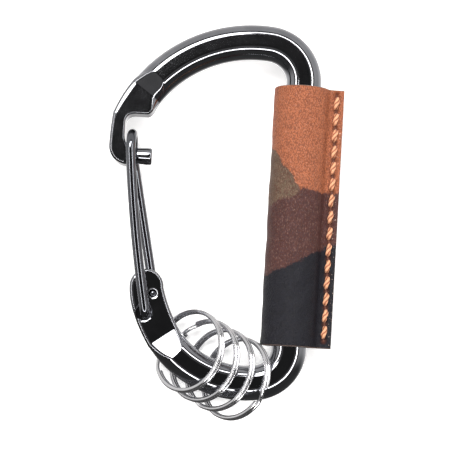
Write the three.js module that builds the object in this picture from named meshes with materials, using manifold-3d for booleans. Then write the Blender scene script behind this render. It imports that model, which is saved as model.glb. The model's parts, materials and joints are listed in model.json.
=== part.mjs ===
// A carabiner keyring: a forged D-shaped body with a wire gate, a stitched leather sleeve round its spine
// and four split rings on its lower left bend. It lies flat on its sleeve and rings.
//
// Millimetres. The body's middle plane is z = 0 while the pieces are made, with the spine along +Y and the
// gate on the -X side; at the end the whole assembly is lifted so that its origin is the middle of its base.
import * as THREE from "three";
import { mergeVertices } from "three/addons/utils/BufferGeometryUtils.js";
import Module from "manifold-3d";

const wasm = await Module();
wasm.setup();

// Clearances
const GAP = 0.3; // between two pieces that touch
const PIVOT_GAP = 0.1; // left round a wire end at each end of its travel

// Body: one line of arcs and a straight spine, seen from above
const SPINE_X = 19.6;
const SPINE_TOP = 33.6;
const SPINE_FOOT = -31.4;
const BAR_WIDTH = 8.5;
const BAR_THICKNESS = 8.0;
const BAR_SQUARENESS = 2.5; // power of the section's superellipse; 2 is round
const ARCH_CORNER_RADIUS = 9.6;
const ARCH_CORNER_TURN = 85;
const ARCH_SWEEP_RADIUS = 32.7;
const BASE_CORNER_RADIUS = 8.7;
const BASE_CORNER_TURN = 80.5;
const BASE_SWEEP_RADIUS = 23.8;

// Flattened ends of the body, and the ramps that lead down to them
const PLATE_THICKNESS = 5.6;
const RAMP_LENGTH = 5;
const NOSE_PLATE_ANGLE = 145.5; // where the nose turns flat, on the arch sweep
const LUG_PLATE_ANGLE = 215.5; // where the lug turns flat, on the base sweep

// Nose: a hook that opens to the inside, with a round catch for the gate
const HOOK_TIP_Y = 10.9;
const HOOK_TUCK = 1.9; // how far the hook's outside stands in from the arch's circle
const HOOK_TURN_IN = 14; // degrees past the nose plate's start where the outside leaves the arch's circle
const HOOK_WIDTH = 3.6;
const HOOK_RADIUS = 4.5;
const HOOK_FOOT = 1.4; // how much wider the hook is where the catch stands out of it
const HOOK_FOOT_SLOPE = 3.4; // height over which it widens
const NOTCH_TOP_Y = 23.4;
const NOTCH_CORNER_RADIUS = 2.4;
const LIP_ANGLE = 151; // where the arch's inside ends above the notch, on the arch sweep
const LIP_CHAMFER_TURN = 1.5; // degrees that the lip's cut corner takes
const CATCH_DIAMETER = 4.2;
const CATCH_END_X = -16.5;
const CATCH_HEIGHT = 0.4; // from the hook's tip to the catch's side
const CATCH_CHAMFER = 0.6;

// Lug: a rounded end that holds both wire ends
const LUG_END_RADIUS = 4.1;
const LUG_END_X = -15.7;
const LUG_END_Y = -18.4;
const LUG_BULGE = 1.3; // how far the lug's two sides bow out on the way to its round end

// Gate: one bent wire, its two ends in the lug at different heights
const WIRE_DIAMETER = 2.4;
const WIRE_BEND_RADIUS = 1.5;
const FRONT_END = new THREE.Vector2(-15.5, -25.2);
const BACK_END = new THREE.Vector2(-14.0, -20.1);
const GATE_TIP = new THREE.Vector2(-21.6, 18.8);
const GATE_OPEN_DEGREES = 26;

// Leather sleeve
const SLEEVE_TOP = 32.3;
const LEATHER = 1.8;
const SLEEVE_SIDE_SLACK = 0.85; // between the spine and the leather, across
const SLEEVE_DEPTH_SLACK = 0.7; // the same, above and below
const SLEEVE_HALF_WIDTH = BAR_WIDTH / 2 + SLEEVE_SIDE_SLACK + LEATHER;
const SLEEVE_HALF_DEPTH = BAR_THICKNESS / 2 + SLEEVE_DEPTH_SLACK + LEATHER;
const SLEEVE_OFFSET = -0.2; // the tube's middle, from the spine's
const LAST_RING_ROOM = 6.4;
const SLEEVE_FOOT = SPINE_FOOT + SLEEVE_HALF_WIDTH - LAST_RING_ROOM; // a wider sleeve stops higher, clear of it
const FLAP_REACH = SLEEVE_HALF_WIDTH + 3.3; // from the tube's middle to the flap's cut edge

// Seam
const THREAD_DIAMETER = 0.9;
const STITCH_PITCH = 4;
const STITCH_COUNT = 15;
const SEAM_INSET = 1.8; // from the flap's cut edge
const FIRST_HOLE_INSET = 1.3; // from the sleeve's top edge
const STITCH_RISE = 0.2;

// Split rings
const RING_DIAMETER = 20.6;
const RING_WIRE_WIDTH = 1.1;
const RING_WIRE_THICKNESS = 0.82;
const RING_COIL_GAP = 0.12;
const RING_END_TURN = 24; // degrees left free at the step between the two turns
const RING_JOG_TURN = 18;
const RING_HEADING = -17; // direction of the raised side, seen from above
// Where each ring sits on the base sweep (degrees), how far in from its line as a share of its room round the
// bar, how much higher its raised side stands than its lower one, and its turn in its own plane
const RING_ROOM = RING_DIAMETER / 2 - RING_WIRE_WIDTH - BAR_WIDTH / 2;
const RING_PLACES = [
  { turn: -127.3, inset: 0.525, rise: 12.964, spin: 215 },
  { turn: -115.6, inset: 0.566, rise: 12.964, spin: 140 },
  { turn: -104.3, inset: 0.465, rise: 13.103, spin: 255 },
  { turn: -93.3, inset: 0.202, rise: 13.784, spin: 350 },
];

const COLOURS = {
  gunmetal: { color: 0x2b2d31, roughness: 0.18, metalness: 1 },
  wire: { color: 0x6d6f75, roughness: 0.2, metalness: 1 },
  leather: { color: 0x7a4630, roughness: 0.6, metalness: 0 },
  thread: { color: 0xd98b57, roughness: 0.8, metalness: 0 },
  nickel: { color: 0xd6d7da, roughness: 0.15, metalness: 1 },
};

const radians = THREE.MathUtils.degToRad;

// A point at an angle (degrees) and distance from a centre in the plane.
function polar(centre, distance, degrees) {
  const angle = radians(degrees);
  return new THREE.Vector2(centre.x + distance * Math.cos(angle), centre.y + distance * Math.sin(angle));
}

// The centres of the four arcs follow from the spine and the radii, so the line stays smooth.
const archCorner = new THREE.Vector2(SPINE_X - ARCH_CORNER_RADIUS, SPINE_TOP);
const archSweep = polar(archCorner, ARCH_CORNER_RADIUS - ARCH_SWEEP_RADIUS, ARCH_CORNER_TURN);
const baseCorner = new THREE.Vector2(SPINE_X - BASE_CORNER_RADIUS, SPINE_FOOT);
const baseSweep = polar(baseCorner, BASE_CORNER_RADIUS - BASE_SWEEP_RADIUS, -BASE_CORNER_TURN);
const hookOutsideX = archSweep.x - ARCH_SWEEP_RADIUS - BAR_WIDTH / 2 + HOOK_TUCK;
const hookInsideX = hookOutsideX + HOOK_WIDTH;

// ---- solids ------------------------------------------------------------------------------------------

function toSolid(geometry) {
  const bare = geometry.index ? geometry.toNonIndexed() : geometry.clone();
  bare.deleteAttribute("normal");
  bare.deleteAttribute("uv");
  const merged = mergeVertices(bare, 1e-4);
  const corners = merged.index.array;
  const triangles = [];
  for (let i = 0; i < corners.length; i += 3) {
    const [a, b, c] = corners.slice(i, i + 3);
    if (a !== b && b !== c && c !== a) triangles.push(a, b, c); // a lathe has empty triangles at its poles
  }
  return new wasm.Manifold(
    new wasm.Mesh({
      numProp: 3,
      vertProperties: merged.attributes.position.array,
      triVerts: new Uint32Array(triangles),
    }),
  );
}

function toGeometry(solid) {
  const mesh = solid.getMesh();
  const geometry = new THREE.BufferGeometry();
  geometry.setAttribute("position", new THREE.BufferAttribute(mesh.vertProperties, 3));
  geometry.setIndex(new THREE.BufferAttribute(mesh.triVerts, 1));
  geometry.computeVertexNormals();
  return geometry;
}

// A flat curve made of lines and arcs, for a section to be carried along.
class FlatCurve extends THREE.Curve {
  constructor(path) {
    super();
    this.path = path;
  }
  getPoint(t) {
    const p = this.path.getPoint(t);
    return new THREE.Vector3(p.x, p.y, 0);
  }
}

// A closed section with a superellipse outline, power 2 being an ellipse.
function superellipse(halfX, halfY, power, sides) {
  const points = [];
  for (let i = 0; i < sides; i++) {
    const angle = (2 * Math.PI * (i + 0.5)) / sides;
    const c = Math.cos(angle);
    const s = Math.sin(angle);
    points.push(
      new THREE.Vector2(
        halfX * Math.sign(c) * Math.abs(c) ** (2 / power),
        halfY * Math.sign(s) * Math.abs(s) ** (2 / power),
      ),
    );
  }
  return new THREE.Shape(points);
}

function circle(radius, sides) {
  return superellipse(radius, radius, 2, sides);
}

// A line through the given corners, each rounded by the given distance along its two sides.
function roundedRoute(corners, rounding) {
  const route = new THREE.CurvePath();
  let from = corners[0];
  for (let i = 1; i < corners.length - 1; i++) {
    const corner = corners[i];
    const before = corners[i - 1].clone().sub(corner).setLength(rounding).add(corner);
    const after = corners[i + 1].clone().sub(corner).setLength(rounding).add(corner);
    route.add(new THREE.LineCurve3(from, before));
    route.add(new THREE.QuadraticBezierCurve3(before, corner, after));
    from = after;
  }
  route.add(new THREE.LineCurve3(from, corners[corners.length - 1]));
  return route;
}

// The outline as a ring of points, without the doubled ones where two of its curves meet.
function joinedOutline(outline, divisions) {
  const points = outline.getPoints(divisions);
  return new THREE.Shape(points.filter((p, i) => p.distanceTo(points.at(i - 1)) > 0.01));
}

// A flat plate with the given outline, centred on z = 0.
function plate(outline) {
  return new THREE.ExtrudeGeometry(joinedOutline(outline, 6), {
    depth: PLATE_THICKNESS,
    bevelEnabled: false,
  }).translate(0, 0, -PLATE_THICKNESS / 2);
}

// ---- body --------------------------------------------------------------------------------------------

// The bar from inside the lug plate, round the base, up the spine and over the arch into the nose plate.
function bar() {
  const overlap = 6; // degrees that the bar runs on inside each plate
  const line = new THREE.Path();
  line.absarc(
    baseSweep.x,
    baseSweep.y,
    BASE_SWEEP_RADIUS,
    radians(LUG_PLATE_ANGLE - overlap),
    radians(360 - BASE_CORNER_TURN),
  );
  line.absarc(baseCorner.x, baseCorner.y, BASE_CORNER_RADIUS, radians(-BASE_CORNER_TURN), 0);
  line.lineTo(SPINE_X, SPINE_TOP);
  line.absarc(archCorner.x, archCorner.y, ARCH_CORNER_RADIUS, 0, radians(ARCH_CORNER_TURN));
  line.absarc(
    archSweep.x,
    archSweep.y,
    ARCH_SWEEP_RADIUS,
    radians(ARCH_CORNER_TURN),
    radians(NOSE_PLATE_ANGLE + overlap),
  );
  const section = superellipse(BAR_THICKNESS / 2, BAR_WIDTH / 2, BAR_SQUARENESS, 16);
  return new THREE.ExtrudeGeometry(section, { extrudePath: new FlatCurve(line), steps: 84 });
}

// The hooked end: the outside follows the arch, turns in at the tip and comes back up inside the notch.
function nosePlate() {
  const outer = ARCH_SWEEP_RADIUS + BAR_WIDTH / 2;
  const inner = ARCH_SWEEP_RADIUS - BAR_WIDTH / 2;
  const turnInAngle = NOSE_PLATE_ANGLE + HOOK_TURN_IN;
  const turnIn = polar(archSweep, outer, turnInAngle);
  const notchX = polar(archSweep, inner, LIP_ANGLE + LIP_CHAMFER_TURN).x;
  const hookSideY = HOOK_TIP_Y + HOOK_RADIUS;
  const footX = hookInsideX + HOOK_FOOT;
  const footY = HOOK_TIP_Y + CATCH_DIAMETER;
  const outline = new THREE.Shape();
  outline.absarc(archSweep.x, archSweep.y, outer, radians(NOSE_PLATE_ANGLE), radians(turnInAngle));
  outline.quadraticCurveTo(hookOutsideX, (turnIn.y + hookSideY) / 2, hookOutsideX, hookSideY);
  outline.absarc(hookOutsideX + HOOK_RADIUS, hookSideY, HOOK_RADIUS, Math.PI, 1.5 * Math.PI);
  outline.lineTo(footX, HOOK_TIP_Y);
  outline.lineTo(footX, footY);
  outline.quadraticCurveTo(hookInsideX, footY + HOOK_FOOT_SLOPE / 3, hookInsideX, footY + HOOK_FOOT_SLOPE);
  outline.lineTo(hookInsideX, NOTCH_TOP_Y - NOTCH_CORNER_RADIUS);
  outline.quadraticCurveTo(hookInsideX, NOTCH_TOP_Y, hookInsideX + NOTCH_CORNER_RADIUS, NOTCH_TOP_Y);
  outline.lineTo(notchX, NOTCH_TOP_Y);
  outline.absarc(archSweep.x, archSweep.y, inner, radians(LIP_ANGLE), radians(NOSE_PLATE_ANGLE), true);
  return plate(outline);
}

// The round pin that stands out of the hook's tip, between the two legs of the gate.
function gateCatch() {
  const radius = CATCH_DIAMETER / 2;
  const rootX = hookInsideX - HOOK_WIDTH / 2;
  const length = CATCH_END_X - rootX;
  const profile = [
    new THREE.Vector2(0, 0),
    new THREE.Vector2(radius, 0),
    new THREE.Vector2(radius, length - CATCH_CHAMFER),
    new THREE.Vector2(radius - CATCH_CHAMFER, length),
    new THREE.Vector2(0, length),
  ];
  return new THREE.LatheGeometry(profile, 20)
    .rotateZ(-Math.PI / 2)
    .translate(rootX, HOOK_TIP_Y + radius + CATCH_HEIGHT, 0);
}

// The rounded lug: its outside and inside edges run on from the bar and meet in a round end.
function lugPlate() {
  const outer = BASE_SWEEP_RADIUS + BAR_WIDTH / 2;
  const inner = BASE_SWEEP_RADIUS - BAR_WIDTH / 2;
  const outsideFoot = polar(baseSweep, outer, LUG_PLATE_ANGLE);
  const insideFoot = polar(baseSweep, inner, LUG_PLATE_ANGLE);
  const outline = new THREE.Shape();
  outline.moveTo(insideFoot.x, insideFoot.y);
  outline.quadraticCurveTo(
    LUG_END_X + LUG_END_RADIUS + LUG_BULGE,
    (insideFoot.y + LUG_END_Y) / 2,
    LUG_END_X + LUG_END_RADIUS,
    LUG_END_Y,
  );
  outline.absarc(LUG_END_X, LUG_END_Y, LUG_END_RADIUS, 0, Math.PI);
  outline.quadraticCurveTo(
    LUG_END_X - LUG_END_RADIUS,
    (outsideFoot.y + LUG_END_Y) / 2 + LUG_BULGE,
    outsideFoot.x,
    outsideFoot.y,
  );
  return plate(outline);
}

// What a ramp takes away on one side (+1 above, -1 below): a wedge that falls to the plate's face and runs on.
function rampCut(centre, radius, degrees, heading, side) {
  const above = BAR_THICKNESS; // clear of the bar's top
  const beyond = 1.5 * BAR_WIDTH; // past the bar's end inside the plate
  const plateFace = PLATE_THICKNESS / 2;
  const drop = BAR_THICKNESS / 2 - plateFace; // over the ramp's length; the cut starts twice as far up
  const profile = new THREE.Shape([
    new THREE.Vector2(-2 * RAMP_LENGTH, plateFace + 2 * drop),
    new THREE.Vector2(0, plateFace),
    new THREE.Vector2(beyond, plateFace),
    new THREE.Vector2(beyond, above),
    new THREE.Vector2(-2 * RAMP_LENGTH, above),
  ]);
  const width = 3 * BAR_WIDTH;
  const foot = polar(centre, radius, degrees);
  return new THREE.ExtrudeGeometry(profile, { depth: width, bevelEnabled: false })
    .translate(0, 0, -width / 2)
    .rotateX((side * Math.PI) / 2)
    .rotateZ(radians(heading))
    .translate(foot.x, foot.y, 0);
}

// The gate's turning axis lies half way between its two ends.
const gatePivot = FRONT_END.clone().add(BACK_END).multiplyScalar(0.5);

// A hole sits at the middle of the short path that its wire end follows, and clears the whole of it.
function pivotHole(end) {
  const half = radians(GATE_OPEN_DEGREES / 2);
  const arm = end.clone().sub(gatePivot);
  const centre = arm.clone().multiplyScalar(Math.cos(half)).rotateAround(new THREE.Vector2(), -half).add(gatePivot);
  const radius = WIRE_DIAMETER / 2 + arm.length() * Math.sin(half) + PIVOT_GAP;
  return new THREE.CylinderGeometry(radius, radius, 2 * PLATE_THICKNESS, 24)
    .rotateX(Math.PI / 2)
    .translate(centre.x, centre.y, 0);
}

function body() {
  let solid = toSolid(bar());
  for (const side of [1, -1]) {
    const noseCut = rampCut(archSweep, ARCH_SWEEP_RADIUS, NOSE_PLATE_ANGLE, NOSE_PLATE_ANGLE + 90, side);
    const lugCut = rampCut(baseSweep, BASE_SWEEP_RADIUS, LUG_PLATE_ANGLE, LUG_PLATE_ANGLE - 90, side);
    solid = solid.subtract(toSolid(noseCut)).subtract(toSolid(lugCut));
  }
  solid = solid.add(toSolid(nosePlate())).add(toSolid(gateCatch())).add(toSolid(lugPlate()));
  for (const end of [FRONT_END, BACK_END]) solid = solid.subtract(toSolid(pivotHole(end)));
  return toGeometry(solid);
}

// ---- gate --------------------------------------------------------------------------------------------

// One wire: in at the lower hole, up the front leg, round the tip, down the back leg and out of the upper hole.
function gateWire() {
  const legZ = PLATE_THICKNESS / 2 + GAP + WIRE_DIAMETER / 2;
  const endZ = PLATE_THICKNESS / 2 - GAP;
  const at = (point, z) => new THREE.Vector3(point.x, point.y, z);
  const legTop = GATE_TIP.clone().setY(GATE_TIP.y - legZ);
  const down = roundedRoute([at(BACK_END, endZ), at(BACK_END, -legZ), at(legTop, -legZ)], WIRE_BEND_RADIUS);
  const up = roundedRoute([at(legTop, legZ), at(FRONT_END, legZ), at(FRONT_END, -endZ)], WIRE_BEND_RADIUS);
  const bend = (4 / 3) * legZ;
  const route = new THREE.CurvePath();
  down.curves.forEach((curve) => route.add(curve));
  route.add(
    new THREE.CubicBezierCurve3(
      at(legTop, -legZ),
      at(legTop, -legZ).setY(legTop.y + bend),
      at(legTop, legZ).setY(legTop.y + bend),
      at(legTop, legZ),
    ),
  );
  up.curves.forEach((curve) => route.add(curve));
  return new THREE.ExtrudeGeometry(circle(WIRE_DIAMETER / 2, 8), { extrudePath: route, steps: 110 });
}

// ---- sleeve and seam ---------------------------------------------------------------------------------

const sleeveX = SPINE_X + SLEEVE_OFFSET;
const flapEdgeX = sleeveX + FLAP_REACH;
const flapFace = GAP / 2 + LEATHER;
const seamX = flapEdgeX - SEAM_INSET;
const firstHoleY = SLEEVE_TOP - FIRST_HOLE_INSET;
const threadRadius = THREAD_DIAMETER / 2;

// One strip of leather wrapped round the spine; its two ends lie on each other and make the flap.
function sleeve() {
  const outerStart = Math.asin(flapFace / SLEEVE_HALF_DEPTH);
  const innerHalfWidth = SLEEVE_HALF_WIDTH - LEATHER;
  const innerHalfDepth = SLEEVE_HALF_DEPTH - LEATHER;
  const innerStart = Math.asin(GAP / 2 / innerHalfDepth);
  const section = new THREE.Shape();
  section.moveTo(flapEdgeX, GAP / 2);
  section.lineTo(flapEdgeX, flapFace);
  section.absellipse(
    sleeveX,
    0,
    SLEEVE_HALF_WIDTH,
    SLEEVE_HALF_DEPTH,
    outerStart,
    2 * Math.PI - outerStart,
  );
  section.lineTo(flapEdgeX, -flapFace);
  section.lineTo(flapEdgeX, -GAP / 2);
  section.absellipse(sleeveX, 0, innerHalfWidth, innerHalfDepth, 2 * Math.PI - innerStart, innerStart, true);
  const length = SLEEVE_TOP - SLEEVE_FOOT;
  const wrap = new THREE.ExtrudeGeometry(joinedOutline(section, 32), { depth: length, bevelEnabled: false })
    .rotateX(Math.PI / 2)
    .translate(0, SLEEVE_TOP, 0);
  let solid = toSolid(wrap);
  for (let i = 0; i <= STITCH_COUNT; i++) {
    const hole = new THREE.CylinderGeometry(threadRadius + GAP, threadRadius + GAP, 4 * flapFace, 8)
      .rotateX(Math.PI / 2)
      .translate(seamX, firstHoleY - i * STITCH_PITCH, 0);
    solid = solid.subtract(toSolid(hole));
  }
  return toGeometry(solid);
}

// One of the two threads of the lock stitch, on the side given by +1 (top) or -1 (underneath).
// It rises a little over each stitch, and at each hole its loop goes half way through the leather.
function seamThread(side) {
  const low = flapFace + GAP / 2 + threadRadius;
  const length = STITCH_COUNT * STITCH_PITCH;
  class ThreadCurve extends THREE.Curve {
    getPoint(t) {
      const rise = STITCH_RISE * Math.sin(Math.PI * t * STITCH_COUNT) ** 2;
      return new THREE.Vector3(seamX, firstHoleY - t * length, side * (low + rise));
    }
  }
  const run = new THREE.ExtrudeGeometry(circle(threadRadius, 6), {
    extrudePath: new ThreadCurve(),
    steps: 2 * STITCH_COUNT,
  });
  let solid = toSolid(run);
  const loopLength = low - GAP / 2;
  for (let i = 0; i <= STITCH_COUNT; i++) {
    const loop = new THREE.CylinderGeometry(threadRadius, threadRadius, loopLength, 6)
      .rotateX(Math.PI / 2)
      .translate(seamX, firstHoleY - i * STITCH_PITCH, (side * (low + GAP / 2)) / 2);
    solid = solid.add(toSolid(loop));
  }
  return toGeometry(solid);
}

// ---- split rings -------------------------------------------------------------------------------------

// A flat wire wound through two turns: each turn is level, and a short jog steps from one to the other.
function splitRing() {
  const radius = (RING_DIAMETER - RING_WIRE_WIDTH) / 2;
  const start = RING_END_TURN / 2;
  const sweep = 720 - 2 * start;
  const step = RING_WIRE_THICKNESS + RING_COIL_GAP;
  class CoilCurve extends THREE.Curve {
    getPoint(t) {
      const degrees = start + t * sweep;
      const jog = THREE.MathUtils.smoothstep(degrees, 360 - RING_JOG_TURN / 2, 360 + RING_JOG_TURN / 2);
      const angle = radians(degrees);
      return new THREE.Vector3(radius * Math.cos(angle), radius * Math.sin(angle), step * (jog - 0.5));
    }
  }
  const section = superellipse(RING_WIRE_THICKNESS / 2, RING_WIRE_WIDTH / 2, 4, 8);
  return new THREE.ExtrudeGeometry(section, { extrudePath: new CoilCurve(), steps: 60 });
}

// Each ring leans on the bar with its lower edge on the table, smaller ones more steeply; spin turns it in its
// own plane.
function placedRing(mesh, place) {
  const stackThickness = 2 * RING_WIRE_THICKNESS + RING_COIL_GAP;
  const lean = Math.asin(place.rise / RING_DIAMETER);
  const centre = polar(baseSweep, BASE_SWEEP_RADIUS - place.inset * RING_ROOM, place.turn);
  const lift = (RING_DIAMETER / 2) * Math.sin(lean) + (stackThickness / 2) * Math.cos(lean);
  mesh.rotation.z = radians(place.spin);
  const leaning = new THREE.Group();
  leaning.rotation.y = -lean;
  leaning.add(mesh);
  const heading = new THREE.Group();
  heading.rotation.z = radians(RING_HEADING);
  heading.position.set(centre.x, centre.y, lift - SLEEVE_HALF_DEPTH);
  heading.add(leaning);
  return heading;
}

// ---- assembly ----------------------------------------------------------------------------------------

function named(name, geometry, finish) {
  const mesh = new THREE.Mesh(geometry, new THREE.MeshStandardMaterial(COLOURS[finish]));
  mesh.name = name;
  return mesh;
}

const assembly = new THREE.Group();
assembly.add(named("carabiner_body", body(), "gunmetal"));
assembly.add(named("gate_wire", gateWire(), "wire"));
assembly.add(named("leather_sleeve", sleeve(), "leather"));
assembly.add(named("needle_thread", seamThread(1), "thread"));
assembly.add(named("bobbin_thread", seamThread(-1), "thread"));
RING_PLACES.forEach((place, i) => {
  assembly.add(placedRing(named(`split_ring_${i + 1}`, splitRing(), "nickel"), place));
});

// The origin is the middle of the base, on the table.
const reach = new THREE.Box3().setFromObject(assembly, true);
const middle = reach.getCenter(new THREE.Vector3());
assembly.position.set(-middle.x, -middle.y, -reach.min.z);

const keyring = new THREE.Group();
keyring.add(assembly);
export default keyring;
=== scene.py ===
"""The finished looks of a carabiner keyring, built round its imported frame.

Lengths that describe the shape are in millimetres in the object's own plan: the body's middle plane is
z = 0 and the spine runs along +Y. place() moves them into the frame, in metres.
"""

import json
import math

import bmesh
import bpy
import numpy as np
from bpy.props import FloatProperty, FloatVectorProperty, PointerProperty
from mathutils import Matrix, Vector


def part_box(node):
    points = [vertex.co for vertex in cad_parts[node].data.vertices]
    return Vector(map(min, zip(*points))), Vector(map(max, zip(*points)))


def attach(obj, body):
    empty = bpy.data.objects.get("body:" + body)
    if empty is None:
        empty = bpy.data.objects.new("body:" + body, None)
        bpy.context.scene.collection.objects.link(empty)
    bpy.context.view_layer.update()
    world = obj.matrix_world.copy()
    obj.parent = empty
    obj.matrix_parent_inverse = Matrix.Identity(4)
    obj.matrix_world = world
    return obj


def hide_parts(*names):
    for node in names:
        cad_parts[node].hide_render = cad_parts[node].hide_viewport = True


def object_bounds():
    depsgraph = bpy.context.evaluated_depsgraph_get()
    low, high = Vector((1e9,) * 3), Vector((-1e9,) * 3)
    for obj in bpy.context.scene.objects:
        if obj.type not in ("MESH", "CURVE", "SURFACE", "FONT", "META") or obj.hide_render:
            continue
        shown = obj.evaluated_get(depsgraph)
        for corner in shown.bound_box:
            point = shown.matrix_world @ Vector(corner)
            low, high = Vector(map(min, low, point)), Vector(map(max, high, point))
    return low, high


bl_info = {
    "name": "Carabiner keyring",
    "version": (1, 0, 0),
    "blender": (4, 5, 0),
    "location": "View3D > Sidebar > Keyring",
    "description": "Builds a wire-gate carabiner with a stitched leather sleeve and four split rings",
    "category": "Object",
}

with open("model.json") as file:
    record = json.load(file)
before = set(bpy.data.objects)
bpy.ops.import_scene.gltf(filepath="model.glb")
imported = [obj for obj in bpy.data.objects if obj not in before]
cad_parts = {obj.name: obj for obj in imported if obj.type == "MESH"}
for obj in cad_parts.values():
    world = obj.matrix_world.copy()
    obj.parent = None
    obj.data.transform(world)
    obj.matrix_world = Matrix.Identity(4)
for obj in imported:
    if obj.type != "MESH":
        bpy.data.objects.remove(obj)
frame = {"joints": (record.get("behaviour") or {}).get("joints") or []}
CAD_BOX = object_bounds()
MM = 0.001

# Body, in plan
SPINE_X = 19.6
BAR_HALF_WIDTH = 4.25
ARCH_CORNER = (10.0, 33.6)
ARCH_CORNER_RADIUS = 9.6
ARCH_CORNER_TURN = 85
ARCH_SWEEP = (7.987, 10.588)
ARCH_SWEEP_RADIUS = 32.7
BASE_CORNER = (10.9, -31.4)
BASE_CORNER_RADIUS = 8.7
BASE_CORNER_TURN = 80.5
BASE_SWEEP = (8.408, -16.507)
BASE_SWEEP_RADIUS = 23.8
NOSE_PLATE_ANGLE = 145.5
NOSE_RAMP_TURN = 8.6
LUG_PLATE_ANGLE = 215.5
LUG_RAMP_TURN = 13.5
HOOK_OUTSIDE_X = -27.06
HOOK_INSIDE_X = -23.46
HOOK_TIP_Y = 10.9
HOOK_RADIUS = 4.5
HOOK_TURN_IN = 14  # degrees past the nose plate's start, where the outside leaves the arch's circle
HOOK_FOOT = 1.4  # how much wider the hook is at its tip than above
HOOK_FOOT_YS = (18.5, 16.3, 15.1)  # where it begins to widen, bends and has widened
LIP_ANGLE = 150.6
LIP_CUT = 1.5  # length of the slope from the lip down to the notch's level top
CATCH_Y = 13.4
CATCH_ROOT_X = -22.5  # inside the hook
NOTCH_TOP_Y = 23.4
NOTCH_CORNER = 2.4
LUG_END = (-15.7, -18.4)
LUG_END_RADIUS = 4.1
LUG_BULGE = 1.3
BAR_SQUARENESS = 2.5
BAR_BREAK = (5.0, 5.0, 5.0, 5.0)
HOOK_BREAK = (1.2, 1.2, 0.8, 0.8)
SOCKET_DEPTH = 2.0  # below the middle of the lug, on the side away from the leg
WINDOW_RADIUS = 1.05
MOUTH = 0.3  # width of the polished rim round a hole, and its depth
MOUTH_DEPTH = 0.1

# What the bar does along a stretch of the body
PLATE, RAMP_UP, BAR, RAMP_DOWN = range(4)

# Gate
FRONT_END = (-15.5, -25.2)
BACK_END = (-14.0, -20.1)
GATE_TIP = (-21.6, 18.8)
LEG_HEIGHT = 4.3
GATE_OPEN = math.radians(26)
GATE_BEND = 1.5
FRONT_LEG_SPREAD = 1.1

# Sleeve and seam
SLEEVE_X = 19.4
SLEEVE_TOP = 32.3
SLEEVE_FOOT = -30.9
SLEEVE_HALF_WIDTH = 6.9
SLEEVE_HALF_DEPTH = 6.5
FLAP_EDGE_X = 29.6
FLAP_GAP = 0.15  # between each flap and the middle plane
CUT_ROUNDING = 0.32
SEAM_X = 27.8
FIRST_HOLE_Y = 31.0
STITCH_PITCH = 4.0
STITCH_COUNT = 15
STITCH_DIP = 0.85  # how far the thread's middle goes below the leather's face, and how far it climbs back
STITCH_CLIMB = 1.06
THREAD_TWIST = 0.9  # turns of the strands in one stitch

# Split rings, in degrees except the pitch between the two turns
RING_HEADING = -17
RING_PITCH = 0.94
RING_END_TURN = 12  # from the step's middle to each wire end; the step takes as much each way
RING_STANDS = ((39, 215), (39, 140), (39.5, 255), (42, 350))  # lean from the table, spin in its own plane

# Camera, in metres and degrees
CAMERA_LEAN = 5.5
CAMERA_TURN = 3.5
CAMERA_DISTANCE = 0.38
CAMERA_FIELD = 0.1098  # width of the view at the object's middle plane
CAMERA_AIM = (0.00108, -0.00128)  # from the middle of the object

SLEEVE_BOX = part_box("leather_sleeve")
ORIGIN = Vector(
    (
        SLEEVE_BOX[1].x - FLAP_EDGE_X * MM,
        SLEEVE_BOX[1].y - SLEEVE_TOP * MM,
        (SLEEVE_BOX[0].z + SLEEVE_BOX[1].z) / 2,
    )
)


class KeyringSizes(bpy.types.PropertyGroup):
    bar_height: FloatProperty(
        name="Bar height",
        description="Thickness of the forged bar at its crown",
        default=8.0 * MM,
        unit="LENGTH",
    )
    plate_height: FloatProperty(
        name="Plate height",
        description="Thickness of the flattened nose and lug",
        default=5.6 * MM,
        unit="LENGTH",
    )
    edge_break: FloatProperty(
        name="Edge break",
        description="Width of the polished chamfer round the flat plates",
        default=0.5 * MM,
        unit="LENGTH",
    )
    gate_wire: FloatProperty(
        name="Gate wire",
        description="Diameter of the gate's spring wire",
        default=2.4 * MM,
        unit="LENGTH",
    )
    leather: FloatProperty(
        name="Leather",
        description="Thickness of the sleeve's leather",
        default=1.8 * MM,
        unit="LENGTH",
    )
    thread: FloatProperty(
        name="Thread",
        description="Width of the stitching thread on the leather",
        default=1.15 * MM,
        unit="LENGTH",
    )
    ring_diameter: FloatProperty(
        name="Ring diameter",
        description="Outside diameter of a split ring",
        default=20.6 * MM,
        unit="LENGTH",
    )
    ring_wire_width: FloatProperty(
        name="Ring wire width",
        description="Width of the split rings' flat wire",
        default=1.1 * MM,
        unit="LENGTH",
    )
    ring_wire_height: FloatProperty(
        name="Ring wire thickness",
        description="Thickness of the split rings' flat wire",
        default=0.76 * MM,
        unit="LENGTH",
    )


def colour_property(name, description, default):
    return FloatVectorProperty(
        name=name,
        description=description,
        default=default,
        subtype="COLOR",
        min=0,
        max=1,
    )


class KeyringColours(bpy.types.PropertyGroup):
    gunmetal: colour_property("Black nickel", "Plating of the body", (0.27, 0.275, 0.295))
    gate: colour_property("Gate steel", "Plating of the gate wire", (0.15, 0.155, 0.17))
    nickel: colour_property("Bright nickel", "Plating of the split rings", (0.72, 0.72, 0.74))
    tan: colour_property("Tan", "Lightest patch of the leather", (0.42, 0.132, 0.058))
    olive: colour_property("Olive grey", "Greenish patch of the leather", (0.115, 0.082, 0.053))
    maroon: colour_property("Maroon", "Red-brown patch of the leather", (0.05, 0.021, 0.022))
    navy: colour_property("Navy black", "Darkest patch of the leather", (0.007, 0.0075, 0.012))
    cut_edge: colour_property("Cut edge", "Raw cut edges of the leather", (0.17, 0.12, 0.1))
    thread: colour_property("Thread", "Stitching thread", (0.8, 0.38, 0.2))
    floor: colour_property("Floor", "Table top", (0.93, 0.93, 0.93))


def sizes():
    return bpy.context.scene.keyring_sizes


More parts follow.
